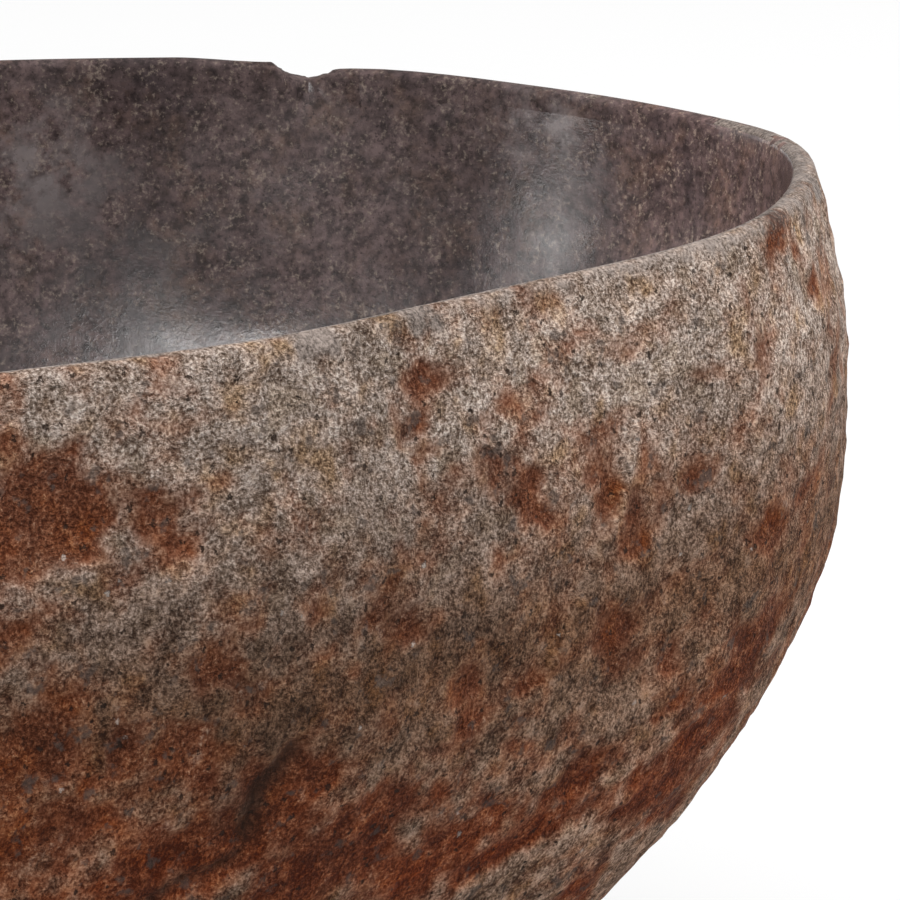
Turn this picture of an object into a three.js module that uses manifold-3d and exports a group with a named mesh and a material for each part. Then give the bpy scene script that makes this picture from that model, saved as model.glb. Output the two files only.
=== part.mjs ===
// A bowl worked from one river boulder: the outside keeps the stone's weathered skin,
// the top is sawn off and ground to a round lip, the hollow is hewn out and honed,
// and the foot is ground flat and stands on four felt pads.
// Millimetres, +Z up, +X along the stone's long axis, origin on the table under its middle.
import * as THREE from 'three';
import { mergeVertices } from 'three/addons/utils/BufferGeometryUtils.js';
import Module from 'manifold-3d';

const wasm = await Module();
wasm.setup();

// Driving dimensions of the boulder, an egg in plan with its blunt end at -X. The reaches
// run from its axis, where it is broadest, to the outer edge of the lip.
const RIM_HEIGHT = 160; // from the table to the sawn top
const REACH_RIGHT = 229;
const REACH_LEFT = 155;
const REACH_ASIDE = 128; // to the front and to the rear
const BELLY_SWELL = 7; // how far the boulder stands out below the lip at its widest
const BELLY_DROP = 42; // how far below the top it is widest
const FLANK_DEPTH = 150; // half height of the boulder below its widest part, before the foot was ground
const FOOT_EDGE = 1.2; // height of the worn edge between the ground foot and the flank
const TUCK_HEIGHT = 28; // below this the flank draws in faster towards the foot
const FOOT_TUCK = 14; // how much further in that takes the foot

// Driving dimensions of the hollow and the lip.
const LIP_WIDTH = 5; // thickness of the wall at the top
const LIP_ROUNDING = 1.6; // height of the ground, rounded top of the wall
const FLOOR_THICKNESS = 21; // stone left under the middle of the hollow
const HOLLOW_FULLNESS = 2.1; // 2 is an ellipse; more keeps the wall upright below the lip

// The felt pads under the foot.
const PAD_DIAMETER = 25;
const PAD_THICKNESS = 3;
const PAD_EDGE = 0.5; // bevel where the pad meets the table
const PAD_SHARE = 0.76; // how far out on the foot a pad sits
const PADS = { // direction of each pad from the boulder's axis, in degrees
  felt_pad_front_right: -20,
  felt_pad_rear_right: 20,
  felt_pad_rear_left: 142,
  felt_pad_front_left: -142,
};

// Facets of the meshes.
const SECTIONS = 112; // directions around the stone
const FLANK_STEPS = 14;
const BELLY_STEPS = 5;
const LIP_STEPS = 6;
const HOLLOW_STEPS = 14;
const CHIP_SIDES = 20;
const PAD_SIDES = 32;

const CIRCLE = 2 * Math.PI;
const degrees = (angle) => THREE.MathUtils.degToRad(angle);
const bell = (distance, reach) => Math.exp(-((distance / reach) ** 2));

// Signed angle from one direction to another, by the shorter way round.
function angleBetween(from, to) {
  return Math.atan2(Math.sin(to - from), Math.cos(to - from));
}

// Flats and swellings that run down the whole side of the boulder. Each has a middle and
// a reach around the stone, in degrees, and stands out (or in) by its rise.
const SIDE_FORMS = [
  { turn: -60, reach: 10, rise: 1.6 },
  { turn: -39, reach: 9, rise: -3.2 },
  { turn: -22, reach: 7, rise: 2.2 },
  { turn: -1, reach: 5, rise: 1.2 },
  { turn: 52, reach: 16, rise: -2.5 },
  { turn: 84, reach: 18, rise: 2.5 },
  { turn: 128, reach: 20, rise: 4 },
  { turn: 163, reach: 16, rise: -3 },
  { turn: 212, reach: 18, rise: 4.5 },
  { turn: 246, reach: 14, rise: -2.5 },
];

// Distance from the boulder's axis to the lip's outer edge, in one direction.
function rimOutline(turn) {
  const lengthwise = Math.cos(turn) > 0 ? REACH_RIGHT : REACH_LEFT;
  const egg = (lengthwise * REACH_ASIDE)
    / Math.hypot(REACH_ASIDE * Math.cos(turn), lengthwise * Math.sin(turn));
  let stand = 0;
  for (const form of SIDE_FORMS) {
    stand += form.rise * bell(angleBetween(degrees(form.turn), turn), degrees(form.reach));
  }
  return egg + stand;
}

// The top was sawn in two passes that didn't quite meet, so on one side of the notch
// it stands a little higher, and the two levels run together again on the far side.
const NOTCH_TURN = 26.2;
const STEP = { rise: 3.2, fade: 2, level: 110, end: 190 }; // degrees past the notch

// Low swellings and dips of the ground top, in the same terms as the side forms.
const TOP_FORMS = [
  { turn: 22.5, reach: 5.5, rise: 1.8 },
  { turn: 5, reach: 6, rise: -0.8 },
  { turn: 105, reach: 14, rise: -0.8 },
  { turn: 236, reach: 12, rise: -0.7 },
];

function rimHeight(turn) {
  const past = THREE.MathUtils.euclideanModulo(turn - degrees(NOTCH_TURN), CIRCLE);
  const up = THREE.MathUtils.smoothstep(past, 0, degrees(STEP.fade));
  const down = THREE.MathUtils.smoothstep(past, degrees(STEP.level), degrees(STEP.end));
  let height = RIM_HEIGHT + STEP.rise * up * (1 - down);
  for (const form of TOP_FORMS) {
    height += form.rise * bell(angleBetween(degrees(form.turn), turn), degrees(form.reach));
  }
  return height;
}

// Swellings (rise above 0) and hollows (below 0) that the river left in the boulder's skin.
// Each has a middle, a reach around the stone and up it, and a height, all in millimetres
// but for the direction, in degrees.
const SKIN_FORMS = [
  { turn: -39, height: 112, across: 15, tall: 32, rise: 1.2 }, // crest of the crease
  { turn: -31, height: 113, across: 15, tall: 27, rise: -1.9 }, // the skin falls away beside it
  { turn: -48, height: 140, across: 9, tall: 17, rise: -1.6 }, // red dent below the lip
  { turn: -75, height: 132, across: 28, tall: 17, rise: -1.5 }, // flat under the broad red patch
  { turn: -62, height: 76, across: 13, tall: 12, rise: -2.6 }, // dark gouge
  { turn: -54, height: 57, across: 32, tall: 13, rise: -2.2 }, // red hollow below the gouge
  { turn: -8, height: 82, across: 40, tall: 24, rise: 1.5 },
  { turn: 10, height: 52, across: 36, tall: 18, rise: -1.8 },
  { turn: 30, height: 112, across: 34, tall: 24, rise: -2.2 },
  { turn: 56, height: 74, across: 30, tall: 24, rise: 2.2 },
  { turn: 80, height: 116, across: 34, tall: 26, rise: -2.6 },
  { turn: 106, height: 62, across: 28, tall: 20, rise: -2.4 },
  { turn: 134, height: 100, across: 30, tall: 28, rise: 2.0 },
  { turn: 158, height: 60, across: 30, tall: 20, rise: -2.4 },
  { turn: 176, height: 120, across: 28, tall: 24, rise: -2.6 },
  { turn: 202, height: 84, across: 26, tall: 22, rise: 1.8 },
  { turn: 224, height: 122, across: 24, tall: 20, rise: -1.8 },
  { turn: 250, height: 86, across: 26, tall: 24, rise: -2.2 },
  { turn: 268, height: 50, across: 26, tall: 16, rise: 1.6 },
];

function skinRelief(turn, height) {
  let relief = 0;
  for (const form of SKIN_FORMS) {
    const aside = angleBetween(degrees(form.turn), turn) * rimOutline(turn);
    relief += form.rise * bell(aside, form.across) * bell(height - form.height, form.tall);
  }
  return relief;
}

const BELLY_HEIGHT = RIM_HEIGHT - BELLY_DROP;
const FOOT_HEIGHT = PAD_THICKNESS;
const FLANK_START = Math.asin((BELLY_HEIGHT - FOOT_HEIGHT - FOOT_EDGE) / FLANK_DEPTH);

// Radius of the stone's outside in one direction and at one height.
function outsideRadius(turn, height) {
  const belly = rimOutline(turn) + BELLY_SWELL;
  const relief = skinRelief(turn, height);
  if (height >= BELLY_HEIGHT) {
    const climb = (height - BELLY_HEIGHT) / BELLY_DROP;
    return belly - BELLY_SWELL * climb ** 2 + relief;
  }
  const drop = (BELLY_HEIGHT - height) / FLANK_DEPTH;
  const tuck = Math.max(0, (TUCK_HEIGHT - height) / (TUCK_HEIGHT - FOOT_HEIGHT));
  return belly * Math.sqrt(1 - drop ** 2) - FOOT_TUCK * tuck ** 2 + relief;
}

// The wall as it shows where the stone is cut in one direction: from the middle of the foot
// out and up the outside, over the lip, and down the hollow to the middle of its floor.
function sectionAt(turn) {
  const shoulder = rimHeight(turn) - LIP_ROUNDING;
  const points = [];
  const add = (radius, height) => points.push(new THREE.Vector2(radius, height));

  const footRadius = outsideRadius(turn, FOOT_HEIGHT) - FOOT_EDGE;
  add(0, FOOT_HEIGHT);
  add(footRadius / 2, FOOT_HEIGHT);
  add(footRadius, FOOT_HEIGHT);

  for (let i = 0; i < FLANK_STEPS; i++) {
    const angle = FLANK_START * (1 - i / FLANK_STEPS);
    const height = BELLY_HEIGHT - FLANK_DEPTH * Math.sin(angle);
    add(outsideRadius(turn, height), height);
  }
  for (let i = 0; i < BELLY_STEPS; i++) {
    const height = THREE.MathUtils.lerp(BELLY_HEIGHT, shoulder, i / BELLY_STEPS);
    add(outsideRadius(turn, height), height);
  }

  const outer = outsideRadius(turn, shoulder);
  const middle = outer - LIP_WIDTH / 2;
  for (let i = 0; i <= LIP_STEPS; i++) {
    const angle = (Math.PI * i) / LIP_STEPS;
    add(middle + (LIP_WIDTH / 2) * Math.cos(angle), shoulder + LIP_ROUNDING * Math.sin(angle));
  }

  const inner = outer - LIP_WIDTH;
  const depth = shoulder - FOOT_HEIGHT - FLOOR_THICKNESS;
  for (let i = 1; i < HOLLOW_STEPS; i++) {
    const angle = (Math.PI / 2) * (i / HOLLOW_STEPS);
    const across = Math.cos(angle) ** (2 / HOLLOW_FULLNESS);
    const down = Math.sin(angle) ** (2 / HOLLOW_FULLNESS);
    add(inner * across, shoulder - depth * down);
  }
  add(0, FOOT_HEIGHT + FLOOR_THICKNESS);
  return points;
}

// A turned body whose section changes with the direction, as a boulder's does.
function hollowedBoulder() {
  const body = new THREE.LatheGeometry(sectionAt(0), SECTIONS);
  const place = body.attributes.position;
  for (let i = 0; i <= SECTIONS; i++) {
    const turn = (CIRCLE * i) / SECTIONS;
    const section = sectionAt(turn);
    section.forEach((point, j) => {
      place.setXYZ(i * section.length + j, point.x * Math.cos(turn), point.x * Math.sin(turn), point.y);
    });
  }
  return body;
}

// Chips knocked off the lip: where, how far they lean out from upright (0 is straight down
// into the top, 90 level into the outside), how wide the knocked face is and how deep.
const LIP_CHIPS = [
  { turn: NOTCH_TURN, lean: 0, width: 11, bite: 2.2 },
  { turn: -55, lean: 55, width: 8, bite: 1.1 },
  { turn: -46, lean: 50, width: 7, bite: 1 },
  { turn: -11, lean: 60, width: 6, bite: 1 },
  { turn: 118, lean: 40, width: 9, bite: 1.3 },
  { turn: 222, lean: 50, width: 8, bite: 1.2 },
];

// The round body whose nearest side, pushed into the lip, leaves the chip's shallow dish.
function chipTool(chip) {
  const turn = degrees(chip.turn);
  const lean = degrees(chip.lean);
  const radius = (chip.width ** 2) / (8 * chip.bite) + chip.bite / 2;
  const away = radius - chip.bite;
  const edge = outsideRadius(turn, RIM_HEIGHT) - (LIP_WIDTH / 2) * (1 - Math.sin(lean));
  const reach = edge + away * Math.sin(lean);
  const height = rimHeight(turn) + away * Math.cos(lean);
  const ball = new THREE.SphereGeometry(radius, CHIP_SIDES, CHIP_SIDES / 2);
  ball.translate(reach * Math.cos(turn), reach * Math.sin(turn), height);
  return ball;
}

function toSolid(geometry) {
  const bare = geometry.clone();
  bare.deleteAttribute('normal');
  bare.deleteAttribute('uv');
  const merged = mergeVertices(bare);
  return new wasm.Manifold(new wasm.Mesh({
    numProp: 3,
    vertProperties: merged.attributes.position.array,
    triVerts: new Uint32Array(merged.index.array),
  }));
}

function toGeometry(solid) {
  const mesh = solid.getMesh();
  const geometry = new THREE.BufferGeometry();
  geometry.setAttribute('position', new THREE.BufferAttribute(mesh.vertProperties, 3));
  geometry.setIndex(new THREE.BufferAttribute(mesh.triVerts, 1));
  geometry.computeVertexNormals();
  return geometry;
}

function makeStone() {
  let solid = toSolid(hollowedBoulder());
  for (const chip of LIP_CHIPS) solid = solid.subtract(toSolid(chipTool(chip)));
  const weatheredStone = new THREE.MeshStandardMaterial({
    color: '#84776b',
    roughness: 0.9,
    metalness: 0,
  });
  const stone = new THREE.Mesh(toGeometry(solid), weatheredStone);
  stone.name = 'stone_bowl';
  return stone;
}

function makePad(name, turn) {
  const radius = PAD_DIAMETER / 2;
  const profile = [
    new THREE.Vector2(0, 0),
    new THREE.Vector2(radius - PAD_EDGE, 0),
    new THREE.Vector2(radius, PAD_EDGE),
    new THREE.Vector2(radius, PAD_THICKNESS),
    new THREE.Vector2(0, PAD_THICKNESS),
  ];
  const disc = new THREE.LatheGeometry(profile, PAD_SIDES);
  disc.rotateX(Math.PI / 2);
  const felt = new THREE.MeshStandardMaterial({ color: '#4d4641', roughness: 1, metalness: 0 });
  const pad = new THREE.Mesh(disc, felt);
  pad.name = name;
  const reach = PAD_SHARE * outsideRadius(turn, FOOT_HEIGHT);
  pad.position.set(reach * Math.cos(turn), reach * Math.sin(turn), 0);
  return pad;
}

const bowl = new THREE.Group();
const stone = makeStone();
bowl.add(stone);
for (const [name, direction] of Object.entries(PADS)) bowl.add(makePad(name, degrees(direction)));

// The boulder's axis isn't midway between its ends, so the middle of its length and width
// is moved to the origin.
const middle = new THREE.Box3().setFromObject(stone).getCenter(new THREE.Vector3());
bowl.position.set(-middle.x, -middle.y, 0);

export default bowl;
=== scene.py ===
# %% [markdown]
# # A bowl worked from a river boulder
#
# The object is one natural stone. Its outside keeps the weathered skin that the river
# gave it. A mason sawed off the top, ground the lip round, hewed out the hollow and
# honed it, and ground a flat foot, which stands on four felt pads.
#
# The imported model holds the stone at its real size, with its swellings, crease, gouge,
# notch and chips. This script gives that stone its surface: swellings, knobs and layers
# as real relief, grains and pits as bump, and materials for skin, ground stone, hollow
# and felt. It begins by loading the model. Lengths are written in millimetres, and
# multiplied by MM where they go to Blender.

# %% Load the frame
import math
from collections import Counter

import bmesh
import bpy
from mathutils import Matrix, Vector, noise


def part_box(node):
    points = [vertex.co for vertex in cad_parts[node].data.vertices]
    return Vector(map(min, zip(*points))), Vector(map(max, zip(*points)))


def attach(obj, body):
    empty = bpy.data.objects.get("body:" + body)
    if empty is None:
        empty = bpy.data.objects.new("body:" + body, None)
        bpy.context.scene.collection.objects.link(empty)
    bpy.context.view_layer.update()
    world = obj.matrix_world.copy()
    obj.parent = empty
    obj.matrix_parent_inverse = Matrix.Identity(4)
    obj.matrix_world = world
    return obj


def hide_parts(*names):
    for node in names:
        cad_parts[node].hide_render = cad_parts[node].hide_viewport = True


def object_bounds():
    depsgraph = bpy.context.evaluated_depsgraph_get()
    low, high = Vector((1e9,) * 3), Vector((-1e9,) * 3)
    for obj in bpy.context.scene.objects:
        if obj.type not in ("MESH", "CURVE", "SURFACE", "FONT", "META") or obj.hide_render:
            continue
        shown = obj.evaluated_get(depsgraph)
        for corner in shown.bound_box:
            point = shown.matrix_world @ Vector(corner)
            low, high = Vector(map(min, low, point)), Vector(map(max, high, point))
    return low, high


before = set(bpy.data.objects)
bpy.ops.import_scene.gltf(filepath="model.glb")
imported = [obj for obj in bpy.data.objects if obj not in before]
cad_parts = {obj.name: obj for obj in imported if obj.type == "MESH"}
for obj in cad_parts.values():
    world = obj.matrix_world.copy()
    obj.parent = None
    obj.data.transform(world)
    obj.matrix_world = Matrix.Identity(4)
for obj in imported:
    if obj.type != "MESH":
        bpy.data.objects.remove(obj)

cad_low, cad_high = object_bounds()
MM = 0.001
size_mm = [round((high - low) / MM, 1) for low, high in zip(cad_low, cad_high)]
print("the packed model measures", size_mm, "mm")

# %% [markdown]
# ## The camera
#
# The photograph looks a little down into the bowl, from in front and to its left, with
# a long lens: both walls of the rim run almost parallel. The rim's ellipse gives the
# angle, 14 degrees above the table. Only part of the bowl is in the picture, so the
# camera aims at the point of the stone that lies in the middle of the photograph.

# %% Camera
VIEW_TURN = math.radians(24.2)
VIEW_RISE = math.radians(14)
VIEW_DISTANCE = 1400 * MM
VIEW_WIDTH = 162 * MM  # what the picture spans at that distance
SENSOR_WIDTH = 36.0  # the camera's own millimetres
LOOK_AT = Vector((104.2, -44.3, 116.4)) * MM

look = Vector((
    math.sin(VIEW_TURN) * math.cos(VIEW_RISE),
    math.cos(VIEW_TURN) * math.cos(VIEW_RISE),
    -math.sin(VIEW_RISE),
))
camera_data = bpy.data.cameras.new("camera")
camera_data.sensor_width = SENSOR_WIDTH
camera_data.lens = SENSOR_WIDTH * VIEW_DISTANCE / VIEW_WIDTH
camera = bpy.data.objects.new("camera", camera_data)
camera.location = LOOK_AT - look * VIEW_DISTANCE
camera.rotation_mode = "QUATERNION"
camera.rotation_quaternion = look.to_track_quat("-Z", "Y")
bpy.context.scene.collection.objects.link(camera)
bpy.context.scene.camera = camera
bpy.context.scene.view_settings.view_transform = "Standard"
print("lens", round(camera_data.lens), "mm")

# %% [markdown]
# ## Helpers for materials
#
# Colours are written as they look on a screen and turned to the linear values that
# Blender computes with. One function adds any shader node, sets it and joins it up, and
# another begins a material.

# %% Colour and node helpers
def colour(code):
    """A colour written as six hexadecimal digits, as linear red, green, blue, alpha."""
    channels = [int(code[i:i + 2], 16) / 255 for i in (0, 2, 4)]
    linear = [c / 12.92 if c <= 0.04045 else ((c + 0.055) / 1.055) ** 2.4 for c in channels]
    return (*linear, 1.0)


def add(tree, kind, inputs=None, stops=None, **settings):
    """Adds a node, applies its settings and its ramp's stops, and fills or links its inputs.

    A new ramp already holds two points, so its first and last stops come before the others.
    """
    made = tree.nodes.new("ShaderNode" + kind)
    for name, value in settings.items():
        setattr(made, name, value)
    for index, (position, code) in enumerate(stops or []):
        points = made.color_ramp.elements
        point = points[index] if index < 2 else points.new(position)
        point.position = position
        point.color = colour(code)
    for socket, value in (inputs or {}).items():
        if isinstance(value, bpy.types.NodeSocket):
            tree.links.new(value, made.inputs[socket])
        else:
            made.inputs[socket].default_value = value
    return made


def new_material(name):
    """An empty node material and its output node."""
    material = bpy.data.materials.new(name)
    material.use_nodes = True
    material.node_tree.nodes.clear()
    return material, material.node_tree, add(material.node_tree, "OutputMaterial")


print("helpers ready")

# %% [markdown]
# ## The studio
#
# The bowl stands on a pale table before a white ground, in a dimmer room. To the camera,
# and in reflections that point at them, table and ground are white, so no extra light
# falls on the stone for it. Reflections that point back towards the camera's side show
# the dim room and its lamps. The light that the table throws back up at the stone comes
# from a greyer colour.

# %% World and table
WORLD_LIGHT = 0.3
ROOM_TO_GROUND = (-0.35, 0.05)  # how far ahead a ray points where the room turns to white ground
TABLE_REACH = 3000 * MM
TABLE_GLOW = 0.82  # how much of the white that the camera sees is the table's own
TABLE_SHADE, TABLE_WHITE = "b4b4b4", "fafafa"  # its colour for light, and for the eye

world = bpy.data.worlds.new("studio")
world.use_nodes = True
sky = world.node_tree
sky.nodes.clear()


def seen_rays(tree, share=1.0):
    """1 on rays from the camera, share on reflections, 0 on rays that only carry light."""
    rays = add(tree, "LightPath").outputs
    glossy = add(tree, "Math", {0: rays["Is Glossy Ray"], 1: share}, operation="MULTIPLY").outputs[0]
    seen = add(tree, "Math", {0: rays["Is Camera Ray"], 1: glossy}, operation="MAXIMUM")
    seen = add(tree, "Math", {0: seen.outputs[0], 1: rays["Is Transmission Ray"]}, operation="MAXIMUM")
    return seen.outputs[0]


direction = add(sky, "TexCoord").outputs["Generated"]
ahead = add(sky, "VectorMath", {0: direction, 1: (look.x, look.y, 0)}, operation="DOT_PRODUCT")
ahead = add(sky, "MapRange", {
    "Value": ahead.outputs["Value"], "From Min": ROOM_TO_GROUND[0], "From Max": ROOM_TO_GROUND[1]})
glow = add(sky, "Background", {"Color": colour("ffffff"), "Strength": WORLD_LIGHT})
white = add(sky, "Background", {"Color": colour("ffffff"), "Strength": 1.0})
shown = add(sky, "MixShader", {
    0: seen_rays(sky, ahead.outputs[0]), 1: glow.outputs[0], 2: white.outputs[0]})
add(sky, "OutputWorld", {"Surface": shown.outputs[0]})
bpy.context.scene.world = world

plane = bmesh.new()
bmesh.ops.create_grid(plane, x_segments=1, y_segments=1, size=TABLE_REACH)
table_mesh = bpy.data.meshes.new("table")
plane.to_mesh(table_mesh)
plane.free()
table = bpy.data.objects.new("table", table_mesh)
bpy.context.scene.collection.objects.link(table)

paper, tree, output = new_material("white_paper")
seen = seen_rays(tree)
tone = add(tree, "Mix", {
    "Factor": seen, 6: colour(TABLE_SHADE), 7: colour(TABLE_WHITE)}, data_type="RGBA")
matt = add(tree, "BsdfDiffuse", {"Color": tone.outputs[2]})
bright = add(tree, "Emission", {"Color": colour("ffffff"), "Strength": 1.0})
share = add(tree, "Math", {0: seen, 1: TABLE_GLOW}, operation="MULTIPLY")
mixed = add(tree, "MixShader", {0: share.outputs[0], 1: matt.outputs[0], 2: bright.outputs[0]})
tree.links.new(mixed.outputs[0], output.inputs["Surface"])
table_mesh.materials.append(paper)
print("table and world made")

# %% [markdown]
# ## The lamps
#
# Soft boxes, as for a product picture. The main one stands at the camera's side, high
# enough to be seen as the bright patch low on the far wall of the honed hollow, and the
# tall narrow one at the left is the upright bright band there: both places follow from
# the mirror directions of the wall. The hollow's colour adds painted reflections at both
# places too. The other three can't be seen in the wall. One hangs over the bowl and
# models the skin's grain from above, one brightens the right end, and one shines into
# the hollow's right end from the left.

# %% Soft boxes
LAMPS_AIM = Vector((0, 0, 100)) * MM
LAMPS = {  # direction from +X and rise in degrees, distance and sides in mm, watts
    "main_box": (-124, 37, 1500, 340, 480, 8.6),
    "left_strip": (188, 13, 1300, 330, 640, 4.2),
    "top_box": (-100, 76, 1500, 1300, 1100, 16),
    "right_box": (-12, 36, 1500, 800, 800, 17),
    "left_box": (186, 46, 1500, 800, 600, 6),
}
for name, (turn, rise, distance, width, height, power) in LAMPS.items():
    around = math.radians(turn)
    up = math.radians(rise)
    outward = Vector((
        math.cos(around) * math.cos(up), math.sin(around) * math.cos(up), math.sin(up)))
    data = bpy.data.lights.new(name, "AREA")
    data.shape = "RECTANGLE"
    data.size = width * MM
    data.size_y = height * MM
    data.energy = power
    lamp = bpy.data.objects.new(name, data)
    lamp.location = LAMPS_AIM + outward * distance * MM
    lamp.rotation_mode = "QUATERNION"
    lamp.rotation_quaternion = (-outward).to_track_quat("-Z", "Y")
    bpy.context.scene.collection.objects.link(lamp)
print("lamps", ", ".join(LAMPS))

# %% [markdown]
# ## The stone's mesh
#
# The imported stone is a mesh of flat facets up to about 10 mm across. Its skin needs
# real relief of up to two millimetres, so the mesh has to be finer and rounder there. It
# could be remeshed in equal cubes, but that would wear away the 5 mm lip. Instead a copy
# is merged, its triangles are joined back to the quads they came from, and one level of
# subdivision surface rounds them off. Then the long edges of the skin and the lip are
# cut in three. The hollow is honed smooth, and needs no more.

# %% Copy and round the stone
JOIN_ANGLE = math.radians(40)
SAME_POINT = 0.001 * MM

stone = bmesh.new()
stone.from_mesh(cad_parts["stone_bowl"].data)
bmesh.ops.remove_doubles(stone, verts=stone.verts, dist=SAME_POINT)
bmesh.ops.join_triangles(
    stone, faces=stone.faces, angle_face_threshold=JOIN_ANGLE, angle_shape_threshold=JOIN_ANGLE)
facets = bpy.data.meshes.new("facets")
stone.to_mesh(facets)
stone.free()
helper = bpy.data.objects.new("facets", facets)
bpy.context.scene.collection.objects.link(helper)
rounding = helper.modifiers.new("rounding", "SUBSURF")
rounding.levels = rounding.render_levels = 1
graph = bpy.context.evaluated_depsgraph_get()
rounded = bpy.data.meshes.new_from_object(helper.evaluated_get(graph))
bpy.data.objects.remove(helper)
if rounded.has_custom_normals:  # those of the flat facets
    rounded.attributes.remove(rounded.attributes["custom_normal"])
stone = bmesh.new()
stone.from_mesh(rounded)
print("rounded to", len(stone.verts), "points and", len(stone.faces), "faces")

# %% Sort its faces
AXIS = Vector((-38.7, -0.6)) * MM  # the boulder's axis, where it is broadest
FOOT_HEIGHT = 3 * MM  # the pads lift the foot by this much
FOOT_SLACK = 0.3 * MM
FACING_DOWN, FACING_UP = -0.95, 0.9  # upright share of the normals of foot and floor
LOWEST_LIP = 120 * MM
LIP_FACING_UP = 0.45
FACING_INWARDS = -0.02
DIRECTIONS = 224  # in which the lip's height is measured
SKIN, LIP, HOLLOW, FOOT = range(4)


def turn_of(point):
    """Direction of a point from the boulder's axis, in degrees from -180 to 180."""
    return math.degrees(math.atan2(point.y - AXIS.y, point.x - AXIS.x))


rim_tops = [0.0] * DIRECTIONS
for vert in stone.verts:
    step = math.floor(turn_of(vert.co) / 360 * DIRECTIONS) % DIRECTIONS
    rim_tops[step] = max(rim_tops[step], vert.co.z)


def rim_height(turn):
    """Height of the lip in a direction, between the two measured nearest to it."""
    place = turn / 360 * DIRECTIONS - 0.5
    step = math.floor(place)
    share = place - step
    return rim_tops[step % DIRECTIONS] * (1 - share) + rim_tops[(step + 1) % DIRECTIONS] * share


def area_of(face):
    """Which part of the stone a face belongs to."""
    middle = face.calc_center_median()
    outward = Vector((middle.x - AXIS.x, middle.y - AXIS.y, 0)).normalized()
    if face.normal.z < FACING_DOWN and middle.z < FOOT_HEIGHT + FOOT_SLACK:
        return FOOT
    if middle.z > LOWEST_LIP and face.normal.z > LIP_FACING_UP:
        return LIP
    if face.normal.dot(outward) < FACING_INWARDS or face.normal.z > FACING_UP:
        return HOLLOW
    return SKIN


area = stone.faces.layers.int.new("area")
for face in stone.faces:
    face[area] = area_of(face)
counts = Counter(face[area] for face in stone.faces)
print("faces of skin, lip, hollow and foot:", [counts[part] for part in (SKIN, LIP, HOLLOW, FOOT)])

# %% Cut the skin and the lip finer
LONG_EDGE = 2.75 * MM
SKIN_PASSES, SMOOTHING = 6, 0.5

long_edges = [
    edge for edge in stone.edges
    if edge.calc_length() > LONG_EDGE and any(face[area] in (SKIN, LIP) for face in edge.link_faces)]
bmesh.ops.subdivide_edges(stone, edges=long_edges, cuts=2, use_grid_fill=True)
bmesh.ops.triangulate(stone, faces=[face for face in stone.faces if len(face.verts) > 4])


def points_only_in(part):
    """Points whose faces all belong to one part of the stone."""
    return [vert for vert in stone.verts if all(face[area] == part for face in vert.link_faces)]


for _ in range(SKIN_PASSES):
    bmesh.ops.smooth_vert(
        stone, verts=points_only_in(SKIN), factor=SMOOTHING,
        use_axis_x=True, use_axis_y=True, use_axis_z=True)
print("cut to", len(stone.verts), "points and", sum(len(f.verts) - 2 for f in stone.faces), "triangles")

# %% [markdown]
# ## Where the marks of the stone lie
#
# The photograph shows one side of the boulder, and its larger marks can be placed: rusty
# patches where the pale rind has worn thin, a gouge and a fold darkened with painted
# shade, a dent and the crease. Each is given by its direction from the axis in degrees
# and its height, half width and half height in millimetres. Noise breaks up their edges,
# and gives the sides that the photograph doesn't show patches of the same kind.

# %% Marks on the skin
RUST_PATCHES = (  # direction, height, half width, half height, strength
    (-77.5, 138, 17, 12, 0.95), (-79, 150, 5, 6, 0.6), (-70, 131, 9, 6, 0.6),
    (-80, 117, 9, 9, 0.4), (-79, 98, 10, 12, 0.95), (-72, 94, 9, 6, 0.85), (-77, 80, 16, 9, 0.8),
    (-64, 107, 6, 10, 0.75), (-66, 90, 11, 7, 0.7), (-58, 84, 13, 8, 0.85), (-60, 73, 17, 9, 0.95),
    (-68, 70, 15, 7, 0.85), (-52, 66, 20, 9, 1.0), (-42, 62, 17, 9, 1.0), (-35, 61, 14, 7, 0.9),
    (-50, 76, 8, 5, 0.6), (-48, 150, 5, 6, 0.5), (-47, 137, 5, 8, 0.7), (-43, 132, 8, 5, 0.45),
    (-39.8, 125, 4, 6, 0.65), (-33, 118, 8, 12, 0.5), (-33.5, 93, 5, 8, 0.8), (-28, 121, 8, 6, 0.4),
    (-20, 155, 6, 5, 0.6), (-17, 148, 5, 8, 0.55), (-23, 138, 9, 9, 0.45), (-22, 104, 5, 5, 0.6),
    (-22, 80, 12, 11, 0.9), (-24, 66, 16, 10, 0.9), (-15, 132, 7, 12, 0.45), (-51, 112, 9, 8, 0.5),
    (-44, 88, 9, 6, 0.55), (-29, 84, 6, 6, 0.6),
)
SEEN_FROM, SEEN_TO = -84, -8  # directions that the photograph shows
PATCH_SEED = 11  # without a seed the noise that bends the patches would differ from run to run
noise.seed_set(PATCH_SEED)
PATCH_SLANT = math.radians(20)
GOUGE = ((-58.2, 89), (-58.8, 87), (-59.8, 83), (-60, 79), (-60, 75))
GOUGE_HALF_WIDTH = 2.3
FOLD = ((-60.3, 71), (-61.8, 69.5), (-63.8, 69), (-65.6, 67), (-67, 65))
OVAL_DENT = (-39.8, 125, 2.6, 4.2)
CREASE = ((-32.7, 132), (-33.6, 123), (-34, 118), (-35.5, 110), (-36.8, 100), (-38.5, 92))
CHIPS = ((-55, 11), (-46, 9), (-11, 6), (118, 11), (222, 9))  # direction, width


def offset(turn, height, mark_turn, mark_height, radius):
    """How far a point lies from a mark along the skin, sideways and upwards, in mm."""
    sideways = math.radians((turn - mark_turn + 180) % 360 - 180) * radius
    return sideways, height - mark_height


def patch(sideways, upwards, half_width, half_height, slant=0.0):
    """1 in the middle of an oval mark, falling off towards and past its edge."""
    along = sideways * math.cos(slant) + upwards * math.sin(slant)
    across = upwards * math.cos(slant) - sideways * math.sin(slant)
    return math.exp(-((along / half_width) ** 2 + (across / half_height) ** 2))


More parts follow.
